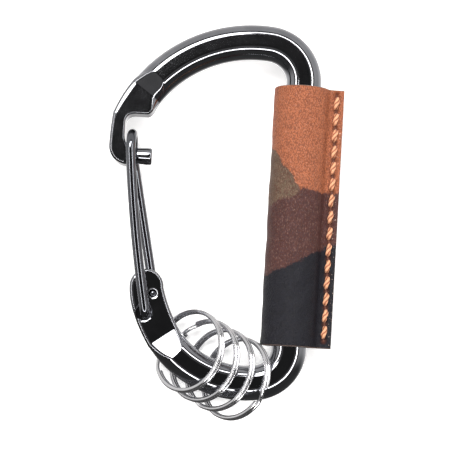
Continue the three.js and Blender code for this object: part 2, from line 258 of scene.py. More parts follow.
def colours():
    return bpy.context.scene.keyring_colours


# ---- meshes ----------------------------------------------------------------------------------------


def place(points):
    """Plan millimetres to frame metres."""
    return np.asarray(points, float) * MM + np.array(ORIGIN)


def grid_faces(rows, columns):
    """Four-cornered faces of a grid whose rows are closed loops: each face joins a point to the next in
    its row and to the next row."""
    r, c = np.meshgrid(np.arange(rows - 1), np.arange(columns), indexing="ij")
    r1, c1 = r + 1, (c + 1) % columns
    quads = np.stack([r * columns + c, r * columns + c1, r1 * columns + c1, r1 * columns + c], -1)
    return quads.reshape(-1, 4)


def surface(name, points, marks=None, sharp=35):
    """A closed smooth piece from a grid of points (rows, columns, 3) in frame metres. Points that fall
    together at its poles are merged, its faces are turned outwards, and edges over `sharp` degrees stay
    crisp. marks is {name: grid of numbers} kept as point attributes."""
    rows, columns = points.shape[:2]
    mesh = bpy.data.meshes.new(name)
    mesh.from_pydata(points.reshape(-1, 3).tolist(), [], grid_faces(rows, columns).tolist())
    for mark, values in (marks or {}).items():
        layer = mesh.attributes.new(mark, "FLOAT", "POINT")
        layer.data.foreach_set("value", np.asarray(values, np.float32).ravel())
    shell = bmesh.new()
    shell.from_mesh(mesh)
    bmesh.ops.remove_doubles(shell, verts=shell.verts, dist=2e-7)
    bmesh.ops.dissolve_degenerate(shell, edges=shell.edges, dist=1e-8)
    bmesh.ops.recalc_face_normals(shell, faces=shell.faces)
    shell.to_mesh(mesh)
    shell.free()
    piece = bpy.data.objects.new(name, mesh)
    bpy.context.scene.collection.objects.link(piece)
    smooth(mesh, sharp)
    return piece


def smooth(mesh, sharp):
    mesh.polygons.foreach_set("use_smooth", np.ones(len(mesh.polygons), bool))
    mesh.set_sharp_from_angle(angle=math.radians(sharp))


def swept(path, side, section, swell=None):
    """A section carried along a path. path and side are (rows, 3): the line, and the direction of the
    section's first axis, made square to the line. section is (columns, 2) in the same unit, and swell
    scales it row by row."""
    tangent = np.gradient(path, axis=0)
    tangent /= np.linalg.norm(tangent, axis=1, keepdims=True)
    side = side - (side * tangent).sum(1, keepdims=True) * tangent
    side /= np.linalg.norm(side, axis=1, keepdims=True)
    up = np.cross(tangent, side)
    swell = np.ones(len(path)) if swell is None else swell
    first = swell[:, None, None] * section[None, :, :1] * side[:, None, :]
    second = swell[:, None, None] * section[None, :, 1:] * up[:, None, :]
    return path[:, None, :] + first + second


def domed(path, radius, steps=8):
    """The path with its two ends drawn out into domes. Returns the new path and the share of the full
    section at each row: the square root of one less the square of the way into the dome."""
    turn = np.linspace(0, np.pi / 2, steps + 1)[1:]
    start = path[0] - path[1]
    end = path[-1] - path[-2]
    start = start / np.linalg.norm(start)
    end = end / np.linalg.norm(end)
    reach = radius * np.sin(turn)[:, None]
    share = np.maximum(np.cos(turn), 0)
    share[-1] = 0
    whole = np.concatenate([(path[0] + start * reach)[::-1], path, path[-1] + end * reach])
    return whole, np.concatenate([share[::-1], np.ones(len(path)), share])


def evenly(points, count):
    """count points spread evenly along a polyline, by its own length."""
    length = np.concatenate([[0], np.cumsum(np.linalg.norm(np.diff(points, axis=0), axis=1))])
    at = np.linspace(0, length[-1], count)
    return np.stack([np.interp(at, length, points[:, i]) for i in range(points.shape[1])], 1)


def arc(centre, radius, start, end):
    """Points on a circle from one angle to another, in degrees."""
    angle = np.radians(np.linspace(start, end, 200))
    return np.stack([centre[0] + radius * np.cos(angle), centre[1] + radius * np.sin(angle)], 1)


def bow(*corners):
    """A quadratic curve: start and end, drawn towards the middle corner."""
    a, b, c = (np.array(p, float) for p in corners)
    t = np.linspace(0, 1, 120)[:, None]
    return (1 - t) ** 2 * a + 2 * t * (1 - t) * b + t**2 * c


def straight(a, b):
    t = np.linspace(0, 1, 30)[:, None]
    return (1 - t) * np.array(a, float) + t * np.array(b, float)


def chain(*parts):
    return np.concatenate([parts[0], *(part[1:] for part in parts[1:])])


def applied(piece, sharp):
    """Bakes the piece's modifiers into its mesh."""
    graph = bpy.context.evaluated_depsgraph_get()
    mesh = bpy.data.meshes.new_from_object(piece.evaluated_get(graph))
    piece.modifiers.clear()
    piece.data = mesh
    smooth(mesh, sharp)
    return piece


def smoothstep(x, low, high):
    t = np.clip((x - low) / (high - low), 0, 1)
    return t * t * (3 - 2 * t)


def finished(piece, material, body, slot, *nodes):
    piece.data.materials.clear()
    piece.data.materials.append(material)
    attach(piece, body)
    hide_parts(*nodes)
    return piece


# ---- materials -------------------------------------------------------------------------------------


class Nodes:
    """Short calls for building a material's node tree."""

    def __init__(self, name):
        self.material = bpy.data.materials.new(name)
        self.material.use_nodes = True
        self.tree = self.material.node_tree
        self.shader = self.tree.nodes["Principled BSDF"]

    def add(self, kind, **settings):
        node = self.tree.nodes.new(kind)
        for name, value in settings.items():
            setattr(node, name, value)
        return node

    def link(self, value, socket):
        if isinstance(value, bpy.types.NodeSocket):
            self.tree.links.new(value, socket)
        else:
            socket.default_value = value

    def maths(self, operation, *values):
        node = self.add("ShaderNodeMath", operation=operation)
        for value, socket in zip(values, node.inputs):
            self.link(value, socket)
        return node.outputs[0]

    def place(self):
        return self.add("ShaderNodeTexCoord").outputs["Object"]

    def stretched(self, vector, scale):
        node = self.add("ShaderNodeMapping")
        self.link(vector, node.inputs["Vector"])
        node.inputs["Scale"].default_value = scale
        return node.outputs[0]

    def noise(self, vector, scale, detail=3.0, roughness=0.5):
        node = self.add("ShaderNodeTexNoise")
        self.link(vector, node.inputs["Vector"])
        node.inputs["Scale"].default_value = scale
        node.inputs["Detail"].default_value = detail
        node.inputs["Roughness"].default_value = roughness
        return node.outputs["Fac"]

    def cells(self, vector, scale):
        node = self.add("ShaderNodeTexVoronoi", feature="F1")
        self.link(vector, node.inputs["Vector"])
        node.inputs["Scale"].default_value = scale
        return node.outputs["Distance"]

    def between(self, value, low, high, to_low=0.0, to_high=1.0):
        node = self.add("ShaderNodeMapRange", interpolation_type="SMOOTHSTEP")
        for item, socket in zip((value, low, high, to_low, to_high), node.inputs):
            self.link(item, socket)
        return node.outputs[0]

    def mix(self, share, a, b):
        node = self.add("ShaderNodeMix", data_type="RGBA")
        self.link(share, node.inputs[0])
        self.link(a, node.inputs[6])
        self.link(b, node.inputs[7])
        return node.outputs[2]

    def bump(self, height, distance, strength=1.0, normal=None):
        node = self.add("ShaderNodeBump")
        node.inputs["Strength"].default_value = strength
        node.inputs["Distance"].default_value = distance
        self.link(height, node.inputs["Height"])
        if normal is not None:
            self.link(normal, node.inputs["Normal"])
        return node.outputs[0]

    def mark(self, name):
        return self.add("ShaderNodeAttribute", attribute_name=name).outputs["Fac"]


def opaque(colour):
    return (*colour[:3], 1.0)


def plated_metal(name, colour, polish, ripple):
    """Polished plating: the colour a little uneven, hair-fine scratches in the gloss and a faint ripple
    left by the forging or drawing under it."""
    n = Nodes(name)
    at = n.place()
    cloud = n.noise(at, 180, 2)
    scratches = n.noise(n.stretched(at, (1, 0.12, 1)), 9000, 2, 0.6)
    smudges = n.noise(at, 420, 3)
    dull = tuple(c * 0.86 for c in colour[:3])
    n.link(n.mix(n.between(cloud, 0.35, 0.65), opaque(colour), opaque(dull)), n.shader.inputs["Base Color"])
    uneven = n.maths("ADD", n.maths("MULTIPLY", scratches, 0.05), n.maths("MULTIPLY", smudges, 0.05))
    n.link(n.maths("ADD", uneven, polish), n.shader.inputs["Roughness"])
    n.shader.inputs["Metallic"].default_value = 1.0
    n.link(n.bump(n.noise(at, 260, 1), ripple), n.shader.inputs["Normal"])
    return n.material


def patched_leather():
    """Leather printed in four patches. Their borders are straight lines across the strip, shaken by
    noise. The grain is small rounded cells with finer noise on them; the cut edges are raw and paler, and
    painted shade darkens the seam at each of its stitch holes."""
    tint = colours()
    n = Nodes("patched leather")
    at = n.place()
    split = n.add("ShaderNodeSeparateXYZ")
    n.link(at, split.inputs[0])
    along = split.outputs["Y"]
    across = n.mark("across")
    shake = n.maths("MULTIPLY", n.maths("SUBTRACT", n.noise(at, 330, 4, 0.65), 0.5), 0.0042)
    along = n.maths("ADD", along, shake)

    def below(border):
        """1 below the border line, 0 above it."""
        return n.between(n.maths("SUBTRACT", border, along), -0.00035, 0.00035)

    def sloping(height, slope, start=0.0112):
        drop = n.maths("MULTIPLY", n.maths("SUBTRACT", across, start), slope)
        return n.maths("ADD", drop, height)

    tan_foot = n.maths("MAXIMUM", sloping(0.0185, -1.41), 0.0079)
    olive_foot = sloping(0.0035, 0.52)
    navy_top = sloping(-0.01345, 0.545)
    olive_side = n.between(across, 0.0175, 0.0190, 1.0, 0.0)
    mottle = n.noise(at, 700, 4, 0.6)
    cells = n.cells(n.stretched(at, (1.0, 0.5, 1.0)), 4300)
    fine = n.noise(n.stretched(at, (1.0, 0.45, 1.0)), 3600, 3, 0.6)

    def shaded(colour, light=1.25, dark=0.72):
        bright = opaque([min(1, c * light) for c in colour[:3]])
        deep = opaque([c * dark for c in colour[:3]])
        return n.mix(n.between(mottle, 0.3, 0.7), deep, bright)

    patch = n.mix(below(tan_foot), shaded(tint.tan, 1.05, 0.9), shaded(tint.maroon))
    olive = n.maths("MULTIPLY", below(tan_foot), n.maths("SUBTRACT", 1.0, below(olive_foot)))
    patch = n.mix(n.maths("MULTIPLY", olive, olive_side), patch, shaded(tint.olive))
    rubbed = n.between(fine, 0.5, 0.72, 0.0, 0.3)
    patch = n.mix(rubbed, patch, (0.55, 0.33, 0.25, 1.0))
    patch = n.mix(below(navy_top), patch, shaded(tint.navy))
    pores = n.between(cells, 0.3, 0.62, 0.0, 0.6)
    patch = n.mix(pores, patch, n.mix(below(navy_top), (0.07, 0.02, 0.012, 1.0), (0.007, 0.006, 0.009, 1.0)))
    specks = n.maths("MULTIPLY", n.between(n.noise(at, 2400, 1), 0.66, 0.74), n.mark("flap"))
    patch = n.mix(n.maths("MULTIPLY", specks, 0.55), patch, (0.72, 0.55, 0.45, 1.0))
    # painted shade: the leather darkened in the seam's stitch holes, by the stitched mark
    patch = n.mix(n.mark("stitched"), patch, (0.075, 0.022, 0.012, 1.0))
    raw = n.mix(n.noise(at, 1900, 3), opaque([c * 0.6 for c in tint.cut_edge[:3]]), opaque(tint.cut_edge))
    n.link(n.mix(n.mark("cut"), patch, raw), n.shader.inputs["Base Color"])
    n.link(n.between(fine, 0.3, 0.7, 0.40, 0.56), n.shader.inputs["Roughness"])
    n.shader.inputs["Specular IOR Level"].default_value = 0.2
    pebbles = n.bump(cells, 0.00016, 0.9)
    creases = n.bump(n.noise(at, 520, 3, 0.6), 0.0001, 0.7, pebbles)
    n.link(n.bump(fine, 0.00006, 0.8, creases), n.shader.inputs["Normal"])
    return n.material


def waxed_thread():
    """Twisted thread with fine fibres across it. Painted shade makes it darker between its strands and
    down in the holes, so the strands' crowns are paler."""
    n = Nodes("waxed thread")
    at = n.place()
    colour = colours().thread
    fibres = n.noise(n.stretched(at, (1.0, 2.5, 1.0)), 4200, 3, 0.7)
    crown = n.mix(n.between(fibres, 0.3, 0.7), opaque([c * 0.8 for c in colour[:3]]), opaque(colour))
    # painted shade in the grooves between the strands
    groove_shade = opaque([c * f for c, f in zip(colour[:3], (0.34, 0.2, 0.14))])
    shade = n.mix(n.mark("crown"), groove_shade, crown)
    # painted shade where the thread goes down into its holes
    hole_shade = n.mix(n.mark("hole_shade"), shade, (0.11, 0.028, 0.012, 1.0))
    n.link(hole_shade, n.shader.inputs["Base Color"])
    n.shader.inputs["Roughness"].default_value = 0.55
    n.shader.inputs["Sheen Weight"].default_value = 0.15
    n.link(n.bump(fibres, 0.00005, 0.7), n.shader.inputs["Normal"])
    return n.material


# ---- pieces ----------------------------------------------------------------------------------------


def body_rails():
    """The body's two edges in plan as matched stretches: (outer points, inner points, stations, kind,
    widths). Both start together at the lug's tip and meet again at the hook's tip. kind is PLATE, RAMP_UP,
    BAR or RAMP_DOWN. widths is how wide the edges' rounding is, as shares of the plain edge break: outer
    at the start and end, then inner."""
    out = ARCH_SWEEP_RADIUS + BAR_HALF_WIDTH
    inn = ARCH_SWEEP_RADIUS - BAR_HALF_WIDTH
    base_out = BASE_SWEEP_RADIUS + BAR_HALF_WIDTH
    base_in = BASE_SWEEP_RADIUS - BAR_HALF_WIDTH
    spine_out = SPINE_X + BAR_HALF_WIDTH
    spine_in = SPINE_X - BAR_HALF_WIDTH

    def both(centre, outer_radius, inner_radius, start, end):
        return arc(centre, outer_radius, start, end), arc(centre, inner_radius, start, end)

    def corner(centre, radius, start, end):
        return both(centre, radius + BAR_HALF_WIDTH, radius - BAR_HALF_WIDTH, start, end)

    # the lug
    lug_top = LUG_PLATE_ANGLE + LUG_RAMP_TURN
    foot_out = arc(BASE_SWEEP, base_out, LUG_PLATE_ANGLE, LUG_PLATE_ANGLE)[0]
    foot_in = arc(BASE_SWEEP, base_in, LUG_PLATE_ANGLE, LUG_PLATE_ANGLE)[0]
    lug_left = (LUG_END[0] - LUG_END_RADIUS, LUG_END[1])
    lug_right = (LUG_END[0] + LUG_END_RADIUS, LUG_END[1])
    lug_round = (arc(LUG_END, LUG_END_RADIUS, 90, 180), arc(LUG_END, LUG_END_RADIUS, 90, 0))
    lug_sides = (
        bow(lug_left, (lug_left[0], (foot_out[1] + LUG_END[1]) / 2 + LUG_BULGE), foot_out),
        bow(lug_right, (lug_right[0] + LUG_BULGE, (foot_in[1] + LUG_END[1]) / 2), foot_in),
    )
    spine = (
        straight((spine_out, BASE_CORNER[1]), (spine_out, ARCH_CORNER[1])),
        straight((spine_in, BASE_CORNER[1]), (spine_in, ARCH_CORNER[1])),
    )

    # the nose and its hook
    nose_top = NOSE_PLATE_ANGLE - NOSE_RAMP_TURN
    base_end = 360 - BASE_CORNER_TURN
    turn_in = NOSE_PLATE_ANGLE + HOOK_TURN_IN
    turn_point = arc(ARCH_SWEEP, out, turn_in, turn_in)[0]
    hook_side = (HOOK_OUTSIDE_X, HOOK_TIP_Y + HOOK_RADIUS)
    hook_line = bow(turn_point, (HOOK_OUTSIDE_X, (turn_point[1] + hook_side[1]) / 2), hook_side)
    hook_centre = (HOOK_OUTSIDE_X + HOOK_RADIUS, HOOK_TIP_Y + HOOK_RADIUS)
    tip = (HOOK_OUTSIDE_X + HOOK_RADIUS + 0.2, HOOK_TIP_Y)
    lip = arc(ARCH_SWEEP, inn, LIP_ANGLE, LIP_ANGLE)[0]
    lip_foot = (lip[0] - LIP_CUT, NOTCH_TOP_Y)
    notch_end = (HOOK_INSIDE_X + NOTCH_CORNER, NOTCH_TOP_Y)
    inside_top = (HOOK_INSIDE_X, NOTCH_TOP_Y - NOTCH_CORNER)
    foot_start, foot_bend, foot_end = HOOK_FOOT_YS
    foot_x = HOOK_INSIDE_X + HOOK_FOOT
    notch = chain(bow(lip, (lip[0] - 0.62, NOTCH_TOP_Y + 0.05), lip_foot), straight(lip_foot, notch_end))
    inside = chain(
        straight(inside_top, (HOOK_INSIDE_X, foot_start)),
        bow((HOOK_INSIDE_X, foot_start), (HOOK_INSIDE_X, foot_bend), (foot_x, foot_end)),
    )
    tip_out = chain(arc(hook_centre, HOOK_RADIUS, 180, 270), straight((hook_centre[0], HOOK_TIP_Y), tip))
    tip_in = chain(
        straight((foot_x, foot_end), (foot_x, HOOK_TIP_Y + 0.5)),
        bow((foot_x, HOOK_TIP_Y + 0.5), (foot_x, HOOK_TIP_Y), tip),
    )
    return [
        (*lug_round, 26, PLATE, (1.0, 1.2, 1.0, 1.2)),
        (*lug_sides, 44, PLATE, (1.2, 1.2, 1.2, 1.4)),
        (*both(BASE_SWEEP, base_out, base_in, LUG_PLATE_ANGLE, lug_top), 22, RAMP_UP, (1.2, 4.0, 1.4, 4.0)),
        (*both(BASE_SWEEP, base_out, base_in, lug_top, base_end), 64, BAR, BAR_BREAK),
        (*corner(BASE_CORNER, BASE_CORNER_RADIUS, -BASE_CORNER_TURN, 0), 52, BAR, BAR_BREAK),
        (*spine, 24, BAR, BAR_BREAK),
        (*corner(ARCH_CORNER, ARCH_CORNER_RADIUS, 0, ARCH_CORNER_TURN), 56, BAR, BAR_BREAK),
        (*both(ARCH_SWEEP, out, inn, ARCH_CORNER_TURN, nose_top), 80, BAR, BAR_BREAK),
        (*both(ARCH_SWEEP, out, inn, nose_top, NOSE_PLATE_ANGLE), 22, RAMP_DOWN, (5.0, 1.6, 5.0, 4.4)),
        (*both(ARCH_SWEEP, out, inn, NOSE_PLATE_ANGLE, LIP_ANGLE), 16, PLATE, (1.6, 1.3, 4.4, 0.9)),
        (arc(ARCH_SWEEP, out, LIP_ANGLE, turn_in), notch, 64, PLATE, (1.3, 1.2, 0.9, 0.8)),
        (hook_line[:45], bow(notch_end, (HOOK_INSIDE_X, NOTCH_TOP_Y), inside_top), 30, PLATE, HOOK_BREAK),
        (hook_line[44:], inside, 40, PLATE, HOOK_BREAK),
        (tip_out, tip_in, 48, PLATE, (1.2, 1.0, 0.8, 1.0)),
    ]


def edge_normals(rail, turn):
    """Directions square to a plan line, to its right for turn 1 and to its left for turn -1."""
    tangent = np.gradient(rail, axis=0)
    tangent /= np.linalg.norm(tangent, axis=1, keepdims=True)
    return turn * np.stack([tangent[:, 1], -tangent[:, 0]], 1)


def shoulder(flat, chamfer, plate, height):
    """One shoulder of the body's section, from half height up to the flat on top, as (inset from the
    edge, height) at each station. On the bar it is a superellipse cut off level; on the plates it is an
    upright wall with a chamfer; plate blends from one to the other. The last few columns round the
    corner as a quadratic curve."""
    power = 2 / BAR_SQUARENESS
    wall = np.linspace(0, 1, 13)[None, :]
    corner = np.linspace(0, 1, 6)[None, 1:]
    top = np.arcsin(np.minimum(flat / height, 1) ** (1 / power))[:, None]
    w, p, c = BAR_HALF_WIDTH, flat[:, None], chamfer[:, None]
    turn = top * 0.955 * wall
    bar_in, bar_up = w * (1 - np.cos(turn) ** power), height * np.sin(turn) ** power
    a_in, a_up = bar_in[:, -1:], bar_up[:, -1:]
    b_in = w * (1 - np.cos(top) ** power)
    c_in = b_in + 0.8 * np.hypot(b_in - a_in, p - a_up)

    def curve(start, middle, end):
        return (1 - corner) ** 2 * start + 2 * corner * (1 - corner) * middle + corner**2 * end

    bar_in = np.concatenate([bar_in, curve(a_in, b_in, c_in)], 1)
    bar_up = np.concatenate([bar_up, curve(a_up, p, p)], 1)
    flat_in = np.concatenate([0 * wall * c, curve(0 * c, 0.24 * c, c)], 1)
    flat_up = np.concatenate([(p - c) * wall, curve(p - c, p - 0.24 * c, p)], 1)
    k = plate[:, None]
    return (1 - k) * bar_in + k * flat_in, (1 - k) * bar_up + k * flat_up


def build_body():
    """The forged body. At each station two shoulders stand on the two edges and a level flat joins
    them, above and below, so the section is a closed loop; the edges meet at both tips and close it."""
    size = sizes()
    bar_top = size.bar_height / MM / 2
    plate_top = size.plate_height / MM / 2
    crown = 0.975 * bar_top
    outer, inner, flat, plate, out_edge, in_edge = [], [], [], [], [], []
    edge = size.edge_break / MM
    for outer_line, inner_line, count, kind, widths in body_rails():
        first = 1 if outer else 0
        outer.append(evenly(outer_line, count)[first:])
        inner.append(evenly(inner_line, count)[first:])
        run = np.linspace(0, 1, count)[first:]
        rise = {PLATE: 0 * run, RAMP_UP: run, BAR: 0 * run + 1, RAMP_DOWN: 1 - run}[kind]
        flat.append(plate_top + (crown - plate_top) * rise)
        plate.append(1 - smoothstep(rise, 0, 1))
        out_edge.append(edge * (widths[0] + (widths[1] - widths[0]) * run))
        in_edge.append(edge * (widths[2] + (widths[3] - widths[2]) * run))
    outer, inner = np.concatenate(outer), np.concatenate(inner)
    flat, plate = np.concatenate(flat), np.concatenate(plate)
    out_normal, in_normal = edge_normals(outer, 1), edge_normals(inner, -1)
    for end in (0, -1):
        shared = out_normal[end] + in_normal[end]
        out_normal[end] = in_normal[end] = shared / np.linalg.norm(shared)
    out_in, out_up = shoulder(flat, np.concatenate(out_edge), plate, bar_top)
    in_in, in_up = shoulder(flat, np.concatenate(in_edge), plate, bar_top)

    def columns(rail, normal, inset, up):
        plan = rail[:, None, :] - normal[:, None, :] * inset[:, :, None]
        return np.concatenate([plan, up[:, :, None]], 2)

    left = columns(outer, out_normal, out_in, out_up)
    right = columns(inner, in_normal, in_in, in_up)
    share = np.linspace(0, 1, 10)[None, 1:-1, None]
    across = left[:, -1:] * (1 - share) + right[:, -1:] * share
    top = np.concatenate([left, across, right[:, ::-1]], 1)
    under = top[:, 1:-1][:, ::-1] * np.array([1, 1, -1])
    body = surface("body", place(np.concatenate([top, under], 1)), sharp=28)

    cutters = hole_cutters(FRONT_END, 1, plate_top) + hole_cutters(BACK_END, -1, plate_top)
    joined = [(catch_pin(), "UNION")] + [(cutter, "DIFFERENCE") for cutter in cutters]
    for tool, operation in joined:
        step = body.modifiers.new(operation, "BOOLEAN")
        step.object = tool
        step.operation = operation
        step.solver = "EXACT"
    applied(body, 28)
    for tool, _ in joined:
        bpy.data.objects.remove(tool)
    return body


def turned(name, profile, frame_axes, centre, sides=64):
    """A profile of (radius, height) turned round an axis. frame_axes are the axis's own x, y and z."""
    angle = np.linspace(0, 2 * np.pi, sides, endpoint=False)
    profile = np.asarray(profile, float)
    radius, height = profile[:, 0][:, None], profile[:, 1][:, None]
    local = np.stack([radius * np.cos(angle), radius * np.sin(angle), height + 0 * angle[None, :]], -1)
    return surface(name, place(local @ np.array(frame_axes, float) + np.array(centre)), sharp=30)


def hole_cutters(end, side, plate_top):
    """What the hole of one gate end takes away: a socket open towards the end's own leg and wide enough
    for its swing, and over its tip a small round window in the far face. side is 1 where the leg is
    above."""
    pivot = (np.array(FRONT_END) + np.array(BACK_END)) / 2
    arm = np.array(end) - pivot
    half = GATE_OPEN / 2
    c, s = math.cos(-half), math.sin(-half)
    centre = pivot + math.cos(half) * np.array([c * arm[0] - s * arm[1], s * arm[0] + c * arm[1]])
    swing = sizes().gate_wire / MM / 2 + np.linalg.norm(arm) * math.sin(half) + 0.1
    past = plate_top + 0.3
    cutters = []
    socket = (swing, -SOCKET_DEPTH, centre, side)
    window = (WINDOW_RADIUS, SOCKET_DEPTH - 0.5, end, -side)
    for radius, foot, middle, way in (socket, window):
        rim = radius + MOUTH
        wall = [(0, foot), (radius, foot), (radius, plate_top - MOUTH_DEPTH)]
        profile = wall + [(rim, plate_top), (rim, past), (0, past)]
        cutters.append(turned("hole", profile, ((1, 0, 0), (0, way, 0), (0, 0, way)), (*middle, 0)))
    return cutters


def catch_pin():
    """The catch: a round pin that stands out of the hook's tip and swells a little to its rounded end."""
    turn = np.linspace(0, np.pi / 2, 9)
    head = np.stack([1.58 + 0.5 * np.cos(turn), 5.5 + 0.5 * np.sin(turn)], 1)
    profile = [(0, 0), (1.94, 0), (1.96, 2.2), (2.02, 3.6), (2.08, 4.6), *head.tolist(), (0, 6.0)]
    return turned("catch", profile, ((0, 1, 0), (0, 0, 1), (1, 0, 0)), (CATCH_ROOT_X, CATCH_Y, 0))


def build_gate():
    """The gate: one round wire carried down through the upper hole's back, up the back leg, round the
    tip in a half circle, down the front leg and into the lower hole; its two cut ends are domed."""
    radius = sizes().gate_wire / MM / 2
    top_y = GATE_TIP[1] - LEG_HEIGHT
    end_z = SOCKET_DEPTH - 0.12 - radius * 0.7

    def leg(end, z, spread=0.0):
        """From inside its hole to the foot of the tip's half circle. spread pulls its middle towards -X."""
        corner = np.array((*end, z))
        into = np.array((*end, -math.copysign(end_z, z)))
        tip = np.array((GATE_TIP[0], top_y, z))
        back = corner + GATE_BEND * (into - corner) / np.linalg.norm(into - corner)
        on = corner + GATE_BEND * (tip - corner) / np.linalg.norm(tip - corner)
        middle = (on + tip) / 2 - np.array((spread, 0, 0))
        return chain(straight(into, back), bow(back, corner, on), bow(on, middle, tip))

    turn = np.linspace(-np.pi / 2, np.pi / 2, 100)
    loop = np.stack(
        [0 * turn + GATE_TIP[0], top_y + LEG_HEIGHT * np.cos(turn), LEG_HEIGHT * np.sin(turn)], 1
    )
    front = leg(FRONT_END, LEG_HEIGHT, FRONT_LEG_SPREAD)[::-1]
    line = evenly(chain(leg(BACK_END, -LEG_HEIGHT), loop, front), 520)
    line[1:-1] = (line[:-2] + 2 * line[1:-1] + line[2:]) / 4
    line, share = domed(line, radius * 0.7)
    around = np.linspace(0, 2 * np.pi, 32, endpoint=False)
    section = radius * np.stack([np.cos(around), np.sin(around)], 1)
    side = np.tile((1.0, 0.0, 0.0), (len(line), 1))
    return surface("gate", place(swept(line, side, section, share)), sharp=50)


def sleeve_profile(thickness):
    """The leather strip's outer and inner faces in section (x, z), matched point by point from the upper
    flap's cut edge, over the round tube, to the lower flap's cut edge. The tube is an ellipse, and a
    short quadratic curve softens the valley where it meets each flap."""
    flap_out, flap_in = FLAP_GAP + thickness, FLAP_GAP
    wide, deep = SLEEVE_HALF_WIDTH, SLEEVE_HALF_DEPTH

    def ellipse(w, d, start):
        angle = np.linspace(start, np.pi, 200)
        return np.stack([SLEEVE_X + w * np.cos(angle), d * np.sin(angle)], 1)

    start = math.asin(flap_out / deep)
    tube = ellipse(wide, deep, start + 0.2)
    corner = ellipse(wide, deep, start)[0]
    valley = bow((corner[0] + 1.15, flap_out), corner, tube[0])
    flap = chain(straight((FLAP_EDGE_X, flap_out), valley[0]), valley)
    upper_out = chain(evenly(flap, 40), evenly(tube, 70))
    inner_tube = ellipse(wide - thickness, deep - thickness, math.asin(flap_in / (deep - thickness)))
    inner_flap = straight((FLAP_EDGE_X, flap_in), inner_tube[0])
    upper_in = chain(evenly(inner_flap, 40), evenly(inner_tube, 70))
    mirror = np.array([1, -1])
    return chain(upper_out, (upper_out * mirror)[::-1]), chain(upper_in, (upper_in * mirror)[::-1])


def build_sleeve():
    """The leather sleeve: a flat strip's section carried down the spine. At each point across the strip
    the grid runs once round its thickness: down the outer face, round the cut foot, up the inner face
    and round the cut top, with rounded corners. The outer face sinks along the seam, more at each hole,
    and wanders inwards a little by a sum of slow waves."""
    thickness = sizes().leather / MM
    out, inn = sleeve_profile(thickness)
    soft = CUT_ROUNDING
    turn = np.linspace(0, np.pi / 2, 6)
    run = np.linspace(SLEEVE_TOP - soft, SLEEVE_FOOT + soft, 211)
    y = np.concatenate(
        [
            run,
            SLEEVE_FOOT + soft * (1 - np.sin(turn[1:])),
            [SLEEVE_FOOT],
            SLEEVE_FOOT + soft * (1 - np.cos(turn)),
            run[::-1][1:],
            SLEEVE_TOP - soft * (1 - np.sin(turn[1:])),
            [SLEEVE_TOP],
            SLEEVE_TOP - soft * (1 - np.cos(turn[:-1])),
        ]
    )
    s = soft / thickness
    n = len(run)
    depth = np.concatenate(
        [
            np.ones(n),
            1 - s * (1 - np.cos(turn[1:])),
            [0.5],
            s * (1 - np.sin(turn)),
            np.zeros(n - 1),
            s * (1 - np.cos(turn[1:])),
            [0.5],
            1 - s * (1 - np.sin(turn[:-1])),
        ]
    )
    # the flap's cut edge: how far each of its last rows stands in from it, and its share of the thickness
    ends = np.array([(0.0, 0.0), (0.0, 0.62), (0.05, 0.83), (0.2, 0.96)])
    shrink = np.ones(len(out))
    offset = np.zeros(len(out))
    for i, (inset, share) in enumerate(ends):
        for k in (i, -1 - i):
            shrink[k] = share
            offset[k] = FLAP_EDGE_X - inset - out[k, 0]
    normal = edge_normals(out, 1)
    out, inn = out + np.stack([offset, 0 * offset], 1), inn.copy()
    inn[:4, 0] = out[:4, 0]
    inn[-4:, 0] = out[-4:, 0]
    across = out[:, 0][:, None]
    upper = np.where(np.arange(len(out)) < len(out) / 2, 1.0, -1.0)[:, None]
    stitch = (FIRST_HOLE_Y - y[None, :]) / STITCH_PITCH
    hole = np.abs(stitch - np.round(stitch)) * STITCH_PITCH
    past = 0.9 / STITCH_PITCH
    in_run = (stitch > -past) & (stitch < STITCH_COUNT + past)
    by_seam = np.exp(-(((across - SEAM_X) / 0.72) ** 2)) * in_run
    on_flap = smoothstep(across, 25.6, 26.6)
    pull = by_seam * on_flap * (0.12 + 0.55 * np.exp(-((hole / 0.8) ** 2)))
    wave = 0.07 * np.sin(y * 0.31 + across * 0.5) + 0.05 * np.sin(y * 0.83 - across * 0.9 + 1)
    wave = wave * smoothstep(26.5 - across, 0, 3) - 0.07
    rim = 0.10 * (np.exp(-((y - SLEEVE_TOP) ** 2) / 1.2) + np.exp(-((y - SLEEVE_FOOT) ** 2) / 1.2))
    lift = np.minimum(wave - pull + rim[None, :], 0) * np.clip(2 * depth - 1, 0, 1)[None, :]
    share = 0.5 + (depth[None, :] - 0.5) * shrink[:, None]
    flat = inn[:, None, :] * (1 - share[:, :, None]) + out[:, None, :] * share[:, :, None]
    flat = flat + normal[:, None, :] * (lift * np.minimum(shrink, 1)[:, None])[:, :, None]
    points = np.stack([flat[..., 0], y[None, :] + 0 * flat[..., 0], flat[..., 1]], -1)
    at_end = (np.abs(depth - 0.5) < 0.49) | (y <= SLEEVE_FOOT) | (y >= SLEEVE_TOP)
    cut = np.maximum(np.where(at_end, 1.0, 0.0)[None, :], (shrink < 0.7)[:, None] * 1.0)
    world = place(points)
    left = ORIGIN.x + (SLEEVE_X - SLEEVE_HALF_WIDTH) * MM
    marks = {
        "across": np.where(upper > 0, world[..., 0], 2 * left - world[..., 0]),
        "cut": cut,
        # painted shade in the seam's stitch holes, darkest where the face is pulled in most
        "stitched": np.clip(pull * 1.7 - 0.2, 0, 0.9) * (depth[None, :] > 0.5),
        "flap": smoothstep(across, SEAM_X + 0.3, SEAM_X + 0.8) * (depth[None, :] > 0.5),
    }
    return surface("sleeve", world, marks, sharp=60)


def stitch_arch(phase):
    """How far a stitch stands up, from 0 down in a hole to 1 along its middle, by its share of a pitch."""
    return smoothstep(np.sin(np.pi * np.clip(phase, 0, 1)), 0.26, 0.86)


